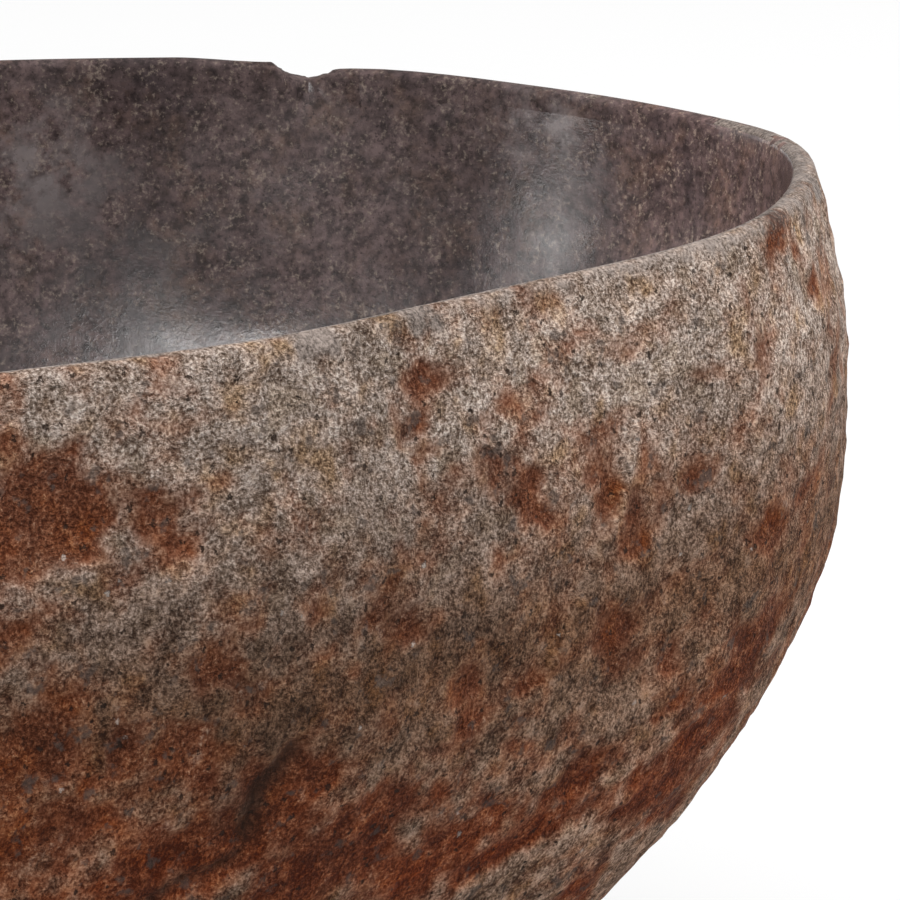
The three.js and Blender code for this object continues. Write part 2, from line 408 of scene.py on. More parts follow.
def line_offset(turn, height, line, radius):
    """Distance to the nearest stretch of a drawn line, and which side of it, in mm."""
    nearest = (math.inf, 1.0)
    for (turn_a, height_a), (turn_b, height_b) in zip(line, line[1:]):
        a = Vector(offset(turn, height, turn_a, height_a, radius))
        stretch = Vector(offset(turn_b, height_b, turn_a, height_a, radius))
        share = min(1.0, max(0.0, a.dot(stretch) / stretch.length_squared))
        away = a - stretch * share
        side = 1.0 if stretch.x * a.y - stretch.y * a.x > 0 else -1.0
        nearest = min(nearest, (away.length, side))
    return nearest


def ramp(value, start, end):
    """Smooth step from 0 at start to 1 at end."""
    share = min(1.0, max(0.0, (value - start) / (end - start)))
    return share * share * (3 - 2 * share)


print(len(RUST_PATCHES), "rusty patches placed")

# %% [markdown]
# ## Relief of the skin
#
# River stone of this kind is a weathered volcanic rock: a pale rind full of grains and
# pits, thin or gone where the rusty stone shows. The relief is moved into the mesh
# itself, so that it also shows on the outline: swellings of a few centimetres, knobs of
# some millimetres, and slanting layers. What is finer than the mesh, under about 3 mm,
# such as the pits, is left to the material's bump. A few values are kept with each point
# for the material: how rusty, how layered, how much painted shade, how freshly ground.

# %% Layers of the rock
LAYER_LENGTH, LAYER_SPACING, LAYER_SLANT = 26, 5, math.radians(33)


def layer_at(turn, height, radius):
    """Slanting layers of the rock, about -0.5 to 0.5, without a seam at the back."""
    value = 0.0
    for start in (-180, 0):  # two sheets whose seams lie opposite each other
        angle = (turn - start) % 360 + start
        weight = math.sin(math.radians(angle - start) / 2) ** 2
        sideways = math.radians(angle) * radius
        across = height * math.cos(LAYER_SLANT) - sideways * math.sin(LAYER_SLANT)
        along = height * math.sin(LAYER_SLANT) + sideways * math.cos(LAYER_SLANT)
        value += weight * noise.fractal(
            Vector((along / LAYER_LENGTH, across / LAYER_SPACING, start)), 0.8, 2.0, 3)
    return value


print("layers", LAYER_SPACING, "mm apart")

# %% Where the rust lies
VIEW_EDGE = 8  # degrees over which the placed patches give way to those of noise
WILD_SIZE, WILD_RANGE, WILD_STRENGTH = 26, (-0.15, 0.85), 0.85  # the patches of noise
LOW_RUST, LOW_RUST_HEIGHTS = 0.45, (40, 100)  # there are more of them low down
HELD_BACK, HELD_BACK_HEIGHTS = 0.45, (48, 58)  # and fewer over this height where it is seen
HELD_BACK_MORE, HELD_BACK_MORE_HEIGHTS = 0.4, (105, 128)  # most of all near the lip
ASTRAY = ((13, 6), (4.5, 2.6))  # patches wander: size of the noise and how far, in mm
PATCH_REACH = 2.4  # past this many half widths a patch no longer counts
PATCH_STRENGTH = 1.1
CREASE_RUST, CREASE_RUST_WIDTH = 0.6, 7  # below the crease
CREST_BARE, CREST_BARE_WIDTH = 0.6, 2.0  # and less of it on the crest
RAGGED, RAGGED_SIZES = 0.3, (9, 4)


def rust_at(point, turn, height, radius, layer):
    """How rusty the skin is, 0 to 1. The place wanders with noise, so patches are ragged."""
    seen = ramp(turn, SEEN_FROM - VIEW_EDGE, SEEN_FROM) * (1 - ramp(turn, SEEN_TO, SEEN_TO + VIEW_EDGE))
    drift = noise.fractal(point / WILD_SIZE + Vector((7, 3, 1)), 0.9, 2.1, 4)
    low = 1 - ramp(height, *LOW_RUST_HEIGHTS)
    wild = WILD_STRENGTH * ramp(drift + LOW_RUST * low, *WILD_RANGE)
    held_back = HELD_BACK + HELD_BACK_MORE * ramp(height, *HELD_BACK_MORE_HEIGHTS)
    wild *= 1 - seen * ramp(height, *HELD_BACK_HEIGHTS) * held_back
    astray = Vector((0, 0, 0))
    for size, far in ASTRAY:
        astray += noise.noise_vector(point / size) * far
    placed = 0.0
    for mark_turn, mark_height, half_width, half_height, strength in RUST_PATCHES:
        sideways, upwards = offset(turn, height, mark_turn, mark_height, radius)
        sideways, upwards = sideways + astray.x, upwards + astray.z
        if abs(sideways) + abs(upwards) < PATCH_REACH * (half_width + half_height):
            reach = strength * patch(sideways, upwards, half_width, half_height, PATCH_SLANT)
            placed = max(placed, reach)
    away, side = line_offset(turn, height, CREASE, radius)
    placed += CREASE_RUST * math.exp(-away / CREASE_RUST_WIDTH) * (side < 0)
    placed -= CREST_BARE * math.exp(-(away / CREST_BARE_WIDTH) ** 2)
    ragged = sum(RAGGED * noise.noise(point / size) for size in RAGGED_SIZES) - RAGGED * layer
    return min(1.0, max(0.0, max(wild, PATCH_STRENGTH * placed) + ragged))


print("patches reach", PATCH_REACH, "half widths far")

# %% How far the skin moves
SWELLING_SIZE, SWELLING_DEPTH = 26, 0.6  # sizes, depths and widths are in millimetres
KNOB_SIZE, KNOB_DEPTH = 8, 0.42
LUMP_SIZE, LUMP_DEPTH = 3.6, 0.38
RUST_SMOOTHS, RUST_SMOOTHS_FROM_TO = 0.5, (0.4, 0.75)  # rusty stone is less knobbly
RIND_STEP, RIND_STEP_FROM_TO = 0.4, (0.4, 0.7)  # and lies this much lower than the rind
LAYER_DEPTH, LAYER_DEPTH_ABOVE, LAYER_HEIGHTS = 0.22, 0.4, (70, 120)  # a share is left high up
GOUGE_DEPTH = 1.5
FOLD_LIFT, FOLD_LIFT_WIDTH = 0.9, 4
FOLD_CUT, FOLD_CUT_WIDTH = 0.8, 1.2
# the fold is darkened with painted shade, this strong and this wide in mm
FOLD_PAINTED_SHADE, FOLD_PAINTED_SHADE_WIDTH = 0.9, 1.1
DENT_DEPTH = 1.3
CREST_HEIGHT, CREST_WIDTH = 1.0, 1.1
CREASE_DROP, CREASE_DROP_WIDTH = 1.1, 6


def relief_at(point, turn, height, radius, rust, layer):
    """How far a point of the skin moves out, in mm, how much painted shade darkens it in the gouge and the
    fold, and how much crest it is.
    """
    rough = 1 - RUST_SMOOTHS * ramp(rust, *RUST_SMOOTHS_FROM_TO)
    out = SWELLING_DEPTH * noise.fractal(point / SWELLING_SIZE, 1.0, 2.0, 2)
    out += rough * KNOB_DEPTH * noise.noise(point / KNOB_SIZE)
    out += rough * LUMP_DEPTH * noise.noise(point / LUMP_SIZE)
    out -= RIND_STEP * ramp(rust, *RIND_STEP_FROM_TO)
    below = 1 - ramp(height, *LAYER_HEIGHTS)
    out += LAYER_DEPTH * layer * (LAYER_DEPTH_ABOVE + (1 - LAYER_DEPTH_ABOVE) * below)
    # the gouge and the fold sink into the skin, and their masks also darken them with painted shade
    away, _ = line_offset(turn, height, GOUGE, radius)
    dark = math.exp(-(away / GOUGE_HALF_WIDTH) ** 2)
    out -= GOUGE_DEPTH * dark
    away, side = line_offset(turn, height, FOLD, radius)
    out += FOLD_LIFT * math.exp(-away / FOLD_LIFT_WIDTH) * (side < 0)
    out -= FOLD_CUT * math.exp(-(away / FOLD_CUT_WIDTH) ** 2)
    dark = max(dark, FOLD_PAINTED_SHADE * math.exp(-(away / FOLD_PAINTED_SHADE_WIDTH) ** 2))
    out -= DENT_DEPTH * patch(*offset(turn, height, *OVAL_DENT[:2], radius), *OVAL_DENT[2:])
    away, side = line_offset(turn, height, CREASE, radius)
    crest = math.exp(-(away / CREST_WIDTH) ** 2)
    out += CREST_HEIGHT * crest
    out -= CREASE_DROP * math.exp(-away / CREASE_DROP_WIDTH) * (side < 0)
    return out, min(1.0, dark), crest


print("deepest mark", GOUGE_DEPTH, "mm")

# %% Move the skin's points
LIP_FADE = (1.0, 6)  # the relief sets in between these distances below the lip
FOOT_FADE = (FOOT_HEIGHT / MM, FOOT_HEIGHT / MM + 5)  # and between these heights over the foot
CREST_PALENESS = 2.0

# rust, layers, painted shade in the gouge and the fold, and ground stone, for the material
masks = {name: [0.0] * len(stone.verts) for name in ("rust", "layer", "dark", "ground")}
stone.verts.ensure_lookup_table()
stone.normal_update()
moves = {}
for vert in stone.verts:
    if {face[area] for face in vert.link_faces} - {SKIN, LIP}:
        continue
    point = vert.co / MM
    turn = turn_of(vert.co)
    height = point.z
    radius = math.hypot(vert.co.x - AXIS.x, vert.co.y - AXIS.y) / MM
    below_lip = (rim_height(turn) - vert.co.z) / MM
    layer = layer_at(turn, height, radius)
    rust = rust_at(point, turn, height, radius, layer)
    out, dark, crest = relief_at(point, turn, height, radius, rust, layer)
    fade = ramp(below_lip, *LIP_FADE) * ramp(height, *FOOT_FADE)
    masks["rust"][vert.index] = rust
    masks["layer"][vert.index] = layer + 0.5 + CREST_PALENESS * crest
    masks["dark"][vert.index] = dark * fade
    moves[vert] = vert.normal * out * fade * MM
for vert, move in moves.items():
    vert.co += move
    for axis in range(3):
        vert.co[axis] = min(cad_high[axis], max(cad_low[axis], vert.co[axis]))
print("moved", len(moves), "points by up to",
      round(max(move.length for move in moves.values()) / MM, 2), "mm")

# %% [markdown]
# ## Ground lip, foot and hollow
#
# The lip was sawn and ground round. At the back it is the hollow's dark stone, only less
# smooth. In front a thin ground line is left of it, and then the skin begins. At the
# right end it runs into the skin over a broader band. The foot is ground flat, and the
# chips along the lip show fresh stone too. Just past the notch the rim is worn down a
# little. The hollow was hewn by hand before it was honed, and keeps very shallow waves,
# which bend the reflections of the lamps.

# %% Masks of the ground stone
GROUND_REACH = 12  # millimetres below the lip, past which nothing is ground
BROAD_TURNS = (-62, -22)  # directions between which the band at the right end sets in
BROAD_BAND, BROAD_BAND_FADE = 0.5, (0.5, 7)  # how ground it looks, and where it fades, in mm
THIN_BAND, THIN_BAND_FADE = 0.2, (0.5, 4)
LINE_EDGE = (-0.1, 0.3)  # how much the surface faces outwards where the thin line ends
LINE_WANDER, LINE_WANDER_SIZE = 0.3, 3
LIP_RADIUS = 170  # a middling one in millimetres, which turns degrees into widths
CHIP_EDGE = (0.35, 0.6)  # in widths of the chip
CHIP_FADE = (3, 6)  # in millimetres below the lip
FOOT_RUST, FOOT_LAYER = 0.3, 0.5


def outward_share(normal, place):
    """How much a surface at a place faces away from the boulder's axis."""
    return normal.dot(Vector((place.x - AXIS.x, place.y - AXIS.y, 0)).normalized())


def ground_at(vert, parts, turn, below_lip):
    """How freshly ground the stone of the skin and the lip is at a point, 0 to 1."""
    value = BROAD_BAND * ramp(turn, *BROAD_TURNS) * (1 - ramp(below_lip, *BROAD_BAND_FADE))
    value += THIN_BAND * (1 - ramp(below_lip, *THIN_BAND_FADE))
    if LIP in parts:
        wander = LINE_WANDER * noise.noise(vert.co / MM / LINE_WANDER_SIZE)
        line = 1 - ramp(outward_share(vert.normal, vert.co) + wander, *LINE_EDGE)
        value = max(value, line)
    for chip_turn, width in CHIPS:
        sideways = abs(offset(turn, 0, chip_turn, 0, LIP_RADIUS)[0])
        near = 1 - ramp(sideways, width * CHIP_EDGE[0], width * CHIP_EDGE[1])
        value = max(value, near * (1 - ramp(below_lip, *CHIP_FADE)))
    return value


for vert in stone.verts:
    parts = {face[area] for face in vert.link_faces}
    turn = turn_of(vert.co)
    below_lip = (rim_height(turn) - vert.co.z) / MM
    if FOOT in parts:
        masks["ground"][vert.index] = 1.0
        masks["rust"][vert.index] = FOOT_RUST
        masks["layer"][vert.index] = FOOT_LAYER
    elif parts & {SKIN, LIP} and below_lip < GROUND_REACH:
        masks["ground"][vert.index] = ground_at(vert, parts, turn, below_lip)
print("ground points", sum(1 for value in masks["ground"] if value > 0.5))

# %% Notch, and waves of the hollow
NOTCH_TURN, NOTCH_REACH, NOTCH_PASSES = 26.2, 7, 24  # direction and reach in degrees
SHOULDER = (1.0, 2.6, 7.0)  # degrees past the notch where the sinking starts, peaks and ends
SHOULDER_DROP, SHOULDER_FADE = 0.9, (1, 8)  # in millimetres, fading below the lip
WAVE_SIZE, WAVE_DEPTH, WAVE_FADE = 34, 0.45, (2, 16)  # the same, setting in below the lip

hollow_points = points_only_in(HOLLOW)
for vert in stone.verts:
    past_notch = turn_of(vert.co) - NOTCH_TURN
    below_lip = (rim_height(turn_of(vert.co)) - vert.co.z) / MM
    sinking = ramp(past_notch, SHOULDER[0], SHOULDER[1]) * (1 - ramp(past_notch, SHOULDER[1], SHOULDER[2]))
    vert.co.z -= SHOULDER_DROP * sinking * (1 - ramp(below_lip, *SHOULDER_FADE)) * MM
by_notch = [
    vert for vert in hollow_points
    if abs(turn_of(vert.co) - NOTCH_TURN) < NOTCH_REACH and vert.co.z > LOWEST_LIP]
for _ in range(NOTCH_PASSES):
    bmesh.ops.smooth_vert(
        stone, verts=by_notch, factor=SMOOTHING, use_axis_x=True, use_axis_y=True, use_axis_z=True)
for vert in hollow_points:
    below_lip = (rim_height(turn_of(vert.co)) - vert.co.z) / MM
    wave = noise.fractal(vert.co / MM / WAVE_SIZE, 1.0, 2.0, 2)
    vert.co += vert.normal * WAVE_DEPTH * wave * ramp(below_lip, *WAVE_FADE) * MM
print("smoothed", len(by_notch), "points by the notch, waves in", len(hollow_points))

# %% The finished stone
LIP_FRONT = (-175, 3)  # directions where the lip belongs to the skin
LIP_WANDER = 12  # how far the change from skin to ground lip wanders, in degrees
GROUND_DEPTH = 5 * MM  # at the back the ground stone reaches this far down into the hollow
DEPTH_WANDER = 0.6  # and this share of it more or less
EDGE_WANDER_SIZE = 5
SKIN_LOOK, HONED_LOOK, GROUND_LOOK = range(3)  # the order of the mesh's materials

mesh = bpy.data.meshes.new("river_stone")
for face in stone.faces:
    face.smooth = True
    face.material_index = HONED_LOOK if face[area] == HOLLOW else SKIN_LOOK
    middle = face.calc_center_median()
    ragged = noise.noise(middle / MM / EDGE_WANDER_SIZE)
    at_back = not LIP_FRONT[0] < turn_of(middle) + LIP_WANDER * ragged < LIP_FRONT[1]
    ground_from = rim_height(turn_of(middle)) - GROUND_DEPTH * (1 + DEPTH_WANDER * ragged)
    near_lip = face[area] == HOLLOW and middle.z > ground_from
    if at_back and (face[area] == LIP or near_lip):
        face.material_index = GROUND_LOOK
stone.to_mesh(mesh)
stone.free()
for name, values in masks.items():
    mesh.attributes.new(name, "FLOAT", "POINT").data.foreach_set("value", values)
bowl = bpy.data.objects.new("river_stone", mesh)
bpy.context.scene.collection.objects.link(bowl)
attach(bowl, "root")
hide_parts("stone_bowl")
print("triangles", sum(len(p.vertices) - 2 for p in mesh.polygons))

# %% [markdown]
# ## Weathered skin
#
# The rock is an andesite whose iron has rusted at the surface. To the eye the rind is
# a sandpaper of grains well under a millimetre wide, from near black pores over brown
# to pinkish white. Over that lie softer spots of some millimetres, ochre, grey-green or
# pink, and the whole gets browner lower down. Where the rind has worn away the same
# grains are rust-brown, with fewer pale ones among them. All of it is matt, because
# pores swallow the highlights. So one grain pattern drives two colour scales, rind and
# rust, and the rust mask, frayed by the grain, moves from one to the other.

# %% Skin material: patterns
def cells(size):
    """How many pattern cells a metre holds, for a cell of this many millimetres."""
    return 1000 / size


WANDER_CELL, WANDER_REACH = 3, 0.5  # bends the fine patterns, so that no lattice shows

skin, tree, output = new_material("weathered_andesite")
place = add(tree, "TexCoord").outputs["Object"]
rusty = add(tree, "Attribute", attribute_name="rust").outputs["Fac"]
layered = add(tree, "Attribute", attribute_name="layer").outputs["Fac"]
# painted shade in the gouge and along the fold
dark = add(tree, "Attribute", attribute_name="dark").outputs["Fac"]
ground = add(tree, "Attribute", attribute_name="ground").outputs["Fac"]
axes = add(tree, "SeparateXYZ", {0: place}).outputs
height = axes["Z"]

wander = add(tree, "TexNoise", {"Vector": place, "Scale": cells(WANDER_CELL), "Detail": 1})
wander = add(tree, "VectorMath", {
    0: wander.outputs["Color"], "Scale": WANDER_REACH * MM}, operation="SCALE")
bent = add(tree, "VectorMath", {0: place, 1: wander.outputs[0]}, operation="ADD").outputs[0]

SKIN_PATTERNS = {  # what it follows, its cell in millimetres, detail and roughness
    "grain": (bent, 0.7, 2, 0.75),
    "clump": (bent, 4.5, 4, 0.7),
    "spot": (bent, 5, 3, 0.65),
    "tint": (place, 8, 2.5, 0.6),
    "cloud": (place, 24, 4, 0.6),
}
made = {
    name: add(tree, "TexNoise", {
        "Vector": follows, "Scale": cells(size), "Detail": detail, "Roughness": roughness}).outputs
    for name, (follows, size, detail, roughness) in SKIN_PATTERNS.items()}
grain, clump, spot, cloud = (made[name]["Fac"] for name in ("grain", "clump", "spot", "cloud"))
tints = add(tree, "SeparateColor", {0: made["tint"]["Color"]}).outputs
print("patterns of the skin:", ", ".join(SKIN_PATTERNS))

# %% Skin material: the scale of grains
CLUMPED_LOW, CLUMPED_HIGH = 0.95, 0.52  # how much grains gather in clumps, low and high up
LAYER_CONTRAST = 0.05
PIT_CELL = 3
PIT_FRAYING = 0.6
PIT_EDGE, PIT_FLOOR = 0.49, 0.41  # where a pit begins and is deepest, in cells with fraying
WITHOUT_PIT, WITHOUT_FLECK = 0.55, 0.97  # shares of the cells that have none

lumpy = add(tree, "MapRange", {
    "Value": height, "From Min": 70 * MM, "From Max": 135 * MM,
    "To Min": CLUMPED_LOW, "To Max": CLUMPED_HIGH}).outputs[0]
level = add(tree, "Math", {0: clump, 1: 0.5}, operation="SUBTRACT").outputs[0]
level = add(tree, "Math", {0: level, 1: lumpy, 2: grain}, operation="MULTIPLY_ADD").outputs[0]
level = add(tree, "Math", {0: layered, 1: LAYER_CONTRAST, 2: level}, operation="MULTIPLY_ADD").outputs[0]
level = add(tree, "Math", {0: level, 1: LAYER_CONTRAST / 2}, operation="SUBTRACT").outputs[0]

pits = add(tree, "TexVoronoi", {"Vector": bent, "Scale": cells(PIT_CELL)}).outputs
ragged = add(tree, "Math", {
    0: grain, 1: PIT_FRAYING, 2: pits["Distance"]}, operation="MULTIPLY_ADD").outputs[0]
hollowed = add(tree, "MapRange", {"Value": ragged, "From Min": PIT_EDGE, "From Max": PIT_FLOOR}).outputs[0]
chances = add(tree, "SeparateColor", {0: pits["Color"]}).outputs
picked = add(tree, "Math", {0: chances["Red"], 1: WITHOUT_PIT}, operation="GREATER_THAN").outputs[0]
# pits sink in the bump and are darkened with painted shade
pit_with_painted_shade = add(tree, "Math", {0: hollowed, 1: picked}, operation="MULTIPLY").outputs[0]
picked = add(tree, "Math", {0: chances["Green"], 1: WITHOUT_FLECK}, operation="GREATER_THAN").outputs[0]
fleck = add(tree, "Math", {0: hollowed, 1: picked}, operation="MULTIPLY").outputs[0]
print("pits in", round(100 * (1 - WITHOUT_PIT)), "percent of the cells")

# %% Skin material: craters
CRATER_CELL = 5.5
CRATER_SMALLEST, CRATER_LARGEST = 0.14, 0.36  # radius in cells
CRATER_WANDER_CELL, CRATER_WANDER = 2.5, 2.6  # makes their outlines uneven
WITHOUT_LOW, WITHOUT_HIGH = 0.35, 0.8  # shares of the cells that have none, low and high up

uneven = add(tree, "TexNoise", {"Vector": place, "Scale": cells(CRATER_WANDER_CELL), "Detail": 2})
uneven = add(tree, "VectorMath", {
    0: uneven.outputs["Color"], "Scale": CRATER_WANDER * MM}, operation="SCALE")
uneven = add(tree, "VectorMath", {0: bent, 1: uneven.outputs[0]}, operation="ADD").outputs[0]
bubbles = add(tree, "TexVoronoi", {"Vector": uneven, "Scale": cells(CRATER_CELL)}).outputs
chances = add(tree, "SeparateColor", {0: bubbles["Color"]}).outputs
reach = add(tree, "MapRange", {
    "Value": chances["Red"], "To Min": CRATER_SMALLEST, "To Max": CRATER_LARGEST}).outputs[0]
depth = add(tree, "Math", {0: bubbles["Distance"], 1: reach}, operation="DIVIDE").outputs[0]
crater = add(tree, "MapRange", {"Value": depth, "From Min": 1.0, "From Max": 0.6},
             interpolation_type="SMOOTHSTEP").outputs[0]
needed = add(tree, "MapRange", {
    "Value": height, "From Min": 70 * MM, "From Max": 140 * MM,
    "To Min": WITHOUT_LOW, "To Max": WITHOUT_HIGH}).outputs[0]
there = add(tree, "Math", {0: chances["Green"], 1: needed}, operation="GREATER_THAN").outputs[0]
crater = add(tree, "Math", {0: crater, 1: there}, operation="MULTIPLY").outputs[0]
print("craters of up to", round(2 * CRATER_LARGEST * CRATER_CELL, 1), "mm")

# %% Skin material: where the rind is gone
WORN_FRAYING = ((clump, 1.7), (grain, 0.5), (crater, 0.35))  # patterns and how much each frays
WORN_FROM, WORN_TO = 1.97, 2.38  # sums at which the rind thins and is gone
WARM_FROM, WARM_TO = 1.02, 1.68  # the same for its colour, which fades more softly
WORN_BLOTCHES, WARM_CLOUDS = 1.1, 0.8  # how much soft patterns add to the rust mask

worn = add(tree, "Math", {
    0: tints["Blue"], 1: WORN_BLOTCHES, 2: rusty}, operation="MULTIPLY_ADD").outputs[0]
crisp = worn
for pattern, weight in WORN_FRAYING:
    crisp = add(tree, "Math", {0: pattern, 1: weight, 2: crisp}, operation="MULTIPLY_ADD").outputs[0]
share = add(tree, "MapRange", {"Value": crisp, "From Min": WORN_FROM, "From Max": WORN_TO},
            interpolation_type="SMOOTHSTEP").outputs[0]
warm = add(tree, "Math", {0: cloud, 1: WARM_CLOUDS, 2: worn}, operation="MULTIPLY_ADD").outputs[0]
warm = add(tree, "MapRange", {"Value": warm, "From Min": WARM_FROM, "From Max": WARM_TO}).outputs[0]
print("the rind's edge is frayed by", len(WORN_FRAYING), "patterns")

# %% Skin material: colours
TINTED = {"data_type": "RGBA", "blend_type": "MULTIPLY"}
SKIN_TOP = 160 * MM
RUST_DARKER = -0.135  # rusty stone shows the darker part of its scale
PALER_FROM, PALER_TO, LEFT_OF_IT = 62 * MM, 116 * MM, 0.76  # the rind is paler to the right
SPOTS_SHOW = 0.9
CLOUD_DARK, CLOUD_PALE = 0.86, 1.1  # lightness in the dark and the pale clouds
RIND_SCALE = [
    (0.22, "45342a"), (0.7, "e0d1c6"), (0.34, "5c4a3f"),
    (0.43, "807064"), (0.51, "9f8e83"), (0.59, "beada2")]
RUST_SCALE = [
    (0.22, "43210f"), (0.7, "bfa28c"), (0.34, "603825"),
    (0.43, "794e39"), (0.51, "8a604a"), (0.59, "a57f69")]
RIND_BY_HEIGHT = [(0.37, "f0dccd"), (0.88, "fafafa"), (0.62, "a68a74")]
RUST_BY_HEIGHT = [(0.37, "ffd9be"), (0.62, "eee8e4")]
RIND_SPOTS = [(0.34, "e6dfd4"), (0.68, "ecd4b2"), (0.46, "ffffff"), (0.57, "fff6ee")]
RUST_SPOTS = [(0.38, "e2dbd8"), (0.68, "ffdca6"), (0.52, "fff6ea")]

level = add(tree, "Math", {0: share, 1: RUST_DARKER, 2: level}, operation="MULTIPLY_ADD").outputs[0]
share_up = add(tree, "MapRange", {"Value": height, "From Max": SKIN_TOP}).outputs[0]

rind = add(tree, "ValToRGB", {"Fac": level}, stops=RIND_SCALE).outputs[0]
lower = add(tree, "ValToRGB", {"Fac": share_up}, stops=RIND_BY_HEIGHT).outputs[0]
rind = add(tree, "Mix", {"Factor": 1.0, 6: rind, 7: lower}, **TINTED).outputs[2]
paler = add(tree, "MapRange", {
    "Value": axes["X"], "From Min": PALER_FROM, "From Max": PALER_TO, "To Min": LEFT_OF_IT}).outputs[0]
rind = add(tree, "VectorMath", {0: rind, "Scale": paler}, operation="SCALE").outputs[0]
spots = add(tree, "ValToRGB", {"Fac": tints["Red"]}, stops=RIND_SPOTS).outputs[0]
rind = add(tree, "Mix", {"Factor": SPOTS_SHOW, 6: rind, 7: spots}, **TINTED).outputs[2]

rust = add(tree, "ValToRGB", {"Fac": level}, stops=RUST_SCALE).outputs[0]
fire = add(tree, "ValToRGB", {"Fac": tints["Green"]}, stops=RUST_SPOTS).outputs[0]
rust = add(tree, "Mix", {"Factor": 1.0, 6: rust, 7: fire}, **TINTED).outputs[2]
redder = add(tree, "ValToRGB", {"Fac": share_up}, stops=RUST_BY_HEIGHT).outputs[0]
rust = add(tree, "Mix", {"Factor": 1.0, 6: rust, 7: redder}, **TINTED).outputs[2]

shown = add(tree, "Mix", {"Factor": warm, 6: rind, 7: rust}, data_type="RGBA").outputs[2]
shade = add(tree, "MapRange", {
    "Value": cloud, "From Min": 0.3, "From Max": 0.66,
    "To Min": CLOUD_DARK, "To Max": CLOUD_PALE}).outputs[0]
shown = add(tree, "VectorMath", {0: shown, "Scale": shade}, operation="SCALE").outputs[0]
print("rind and rust have", len(RIND_SCALE), "and", len(RUST_SCALE), "steps from pore to grain")


# %% Skin material: stains, painted shade in the gouge, the fold and the pits, and flecks
def stained(tree, base, mask, start, full, strength, code):
    """Lays a colour over the stone where a mask rises from start to full."""
    cover = add(tree, "MapRange", {
        "Value": mask, "From Min": start, "From Max": full, "To Max": strength}).outputs[0]
    return add(tree, "Mix", {"Factor": cover, 6: base, 7: colour(code)}, data_type="RGBA").outputs[2]


shown = stained(tree, shown, spot, 0.6, 0.68, 0.7, "4a403b")  # grey-brown stains
shown = stained(tree, shown, dark, 0, 1, 0.88, "2f221b")  # painted shade in the gouge and along the fold
shown = stained(tree, shown, pit_with_painted_shade, 0, 1, 0.8, "271c16")  # painted shade in the pits
shown = stained(tree, shown, fleck, 0, 1, 0.5, "c8bab0")  # single pale flecks
print("stains, gouge, pits and pale flecks laid over it")

# %% Skin material: ground stone, gloss and bump
CUT_FRAYING, CUT_FROM, CUT_TO = 1.8, 0.2, 0.9
SKIN_ROUGHNESS, CUT_ROUGHNESS = 0.9, 0.5
SKIN_BUMP, CUT_BUMP = 0.9, 0.35
BUMP_HEIGHT = 0.5 * MM
BUMP_WEIGHTS = ((clump, 6), (pit_with_painted_shade, -0.9), (crater, -1.3), (share, -0.8))
RUGGED_LOW, RUGGED_HIGH = 0.9, 0.8  # shares of the bump, low and high up

fresh = add(tree, "ValToRGB", {"Fac": level}, stops=[(0.34, "3c322c"), (0.66, "8a7d75")]).outputs[0]
fray = add(tree, "Math", {0: clump, 1: 0.5}, operation="SUBTRACT").outputs[0]
fray = add(tree, "Math", {0: fray, 1: CUT_FRAYING, 2: ground}, operation="MULTIPLY_ADD").outputs[0]
cut = add(tree, "MapRange", {"Value": fray, "From Min": CUT_FROM, "From Max": CUT_TO}).outputs[0]
shown = add(tree, "Mix", {"Factor": cut, 6: shown, 7: fresh}, data_type="RGBA").outputs[2]

rise = add(tree, "MapRange", {"Value": level, "From Min": 0.3, "From Max": 0.7}, clamp=False).outputs[0]
for pattern, weight in BUMP_WEIGHTS:
    rise = add(tree, "Math", {0: pattern, 1: weight, 2: rise}, operation="MULTIPLY_ADD").outputs[0]
rugged = add(tree, "MapRange", {
    "Value": height, "From Min": 75 * MM, "From Max": 140 * MM,
    "To Min": RUGGED_LOW, "To Max": RUGGED_HIGH}).outputs[0]
rise = add(tree, "Math", {0: rise, 1: rugged}, operation="MULTIPLY").outputs[0]
calm = add(tree, "MapRange", {"Value": cut, "To Min": SKIN_BUMP, "To Max": CUT_BUMP}).outputs[0]
bump = add(tree, "Bump", {"Height": rise, "Distance": BUMP_HEIGHT, "Strength": calm}).outputs[0]
dull = add(tree, "MapRange", {"Value": cut, "To Min": SKIN_ROUGHNESS, "To Max": CUT_ROUGHNESS}).outputs[0]
surface = add(tree, "BsdfPrincipled", {
    "Base Color": shown, "Roughness": dull, "IOR": 1.5, "Specular IOR Level": 0.12, "Normal": bump})
tree.links.new(surface.outputs[0], output.inputs["Surface"])
mesh.materials.append(skin)
print("skin material has", len(tree.nodes), "nodes")

# %% [markdown]
# ## Honed hollow
#
# Inside, the same rock is cut through and honed with fine grit: dark grey-brown, with
# small cream and black crystals, faint ochre clouds, and a satin gloss that shows the
# lamps as soft bands. Pale patches on the far wall are painted reflections of the lamps,
# with a painted dark patch just below one of them. Towards the right end the cut runs
# near the rind: there it is browner, and upright streaks are painted much lighter,
# partly a browner tint and partly a painted reflection of the tall lamp's band.

# %% Cut stone
CUT_PATTERNS = {  # cell in millimetres, detail and roughness
    "cloud": (38, 5, 0.6),
    "tint": (9, 4, 0.7),
    "mottle": (2.2, 3, 0.65),
    "speck": (0.9, 3, 0.68),
    "crowd": (6, 3, 0.6),
    "streak": (5, 4, 0.65),
}
STREAK_LENGTH = 6.25  # how many times longer than wide the upright streaks are
STREAKS_FROM, STREAKS_TO = 168 * MM, 186 * MM  # along the stone, where they set in
